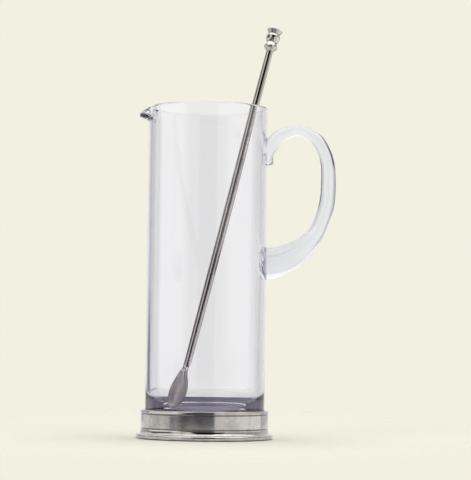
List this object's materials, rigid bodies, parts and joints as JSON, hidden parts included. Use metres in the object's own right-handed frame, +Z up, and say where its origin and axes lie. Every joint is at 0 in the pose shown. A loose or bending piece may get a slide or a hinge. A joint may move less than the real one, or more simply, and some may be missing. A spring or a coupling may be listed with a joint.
{
  "type": "cocktail pitcher",
  "caption": "Straight-sided clear glass cocktail pitcher with a glass loop handle and pouring lip, set in a turned pewter base, with a pewter stirring spoon that lifts out.",
  "frame": {"origin": "middle of the foot's table face", "axes": "+Z up along the axis of the glass, +X towards the handle, -X towards the pouring lip"},
  "size_m": [0.1495, 0.1036, 0.3165],
  "materials": {
    "vessel_glass": "clear blown glass, fire-polished rim",
    "handle_glass": "clear drawn glass",
    "base_pewter": "lathe-turned pewter, polished, slightly dulled with use",
    "foot_pewter": "lathe-turned pewter, polished, slightly dulled with use",
    "plate_pewter": "plain spun pewter",
    "bedding_compound": "metal-filled cured bedding compound, pale grey",
    "rod_pewter": "polished pewter",
    "finial_pewter": "turned and polished pewter",
    "bowl_pewter": "cast pewter, hand finished"
  },
  "bodies": {
    "pitcher": {"glass_body": "vessel_glass", "glass_handle": "handle_glass", "base_collar": "base_pewter", "foot_ring": "foot_pewter", "base_plate": "plate_pewter", "glass_bed": "bedding_compound"},
    "stirrer": {"stirrer_rod": "rod_pewter", "stirrer_finial": "finial_pewter", "stirrer_bowl": "bowl_pewter"}
  },
  "joints": [
    {"name": "stirrer_lift", "type": "slide", "parent": "pitcher", "child": "stirrer", "axis": [0, 0, 1], "range_m": [0, 0.25]}
  ]
}
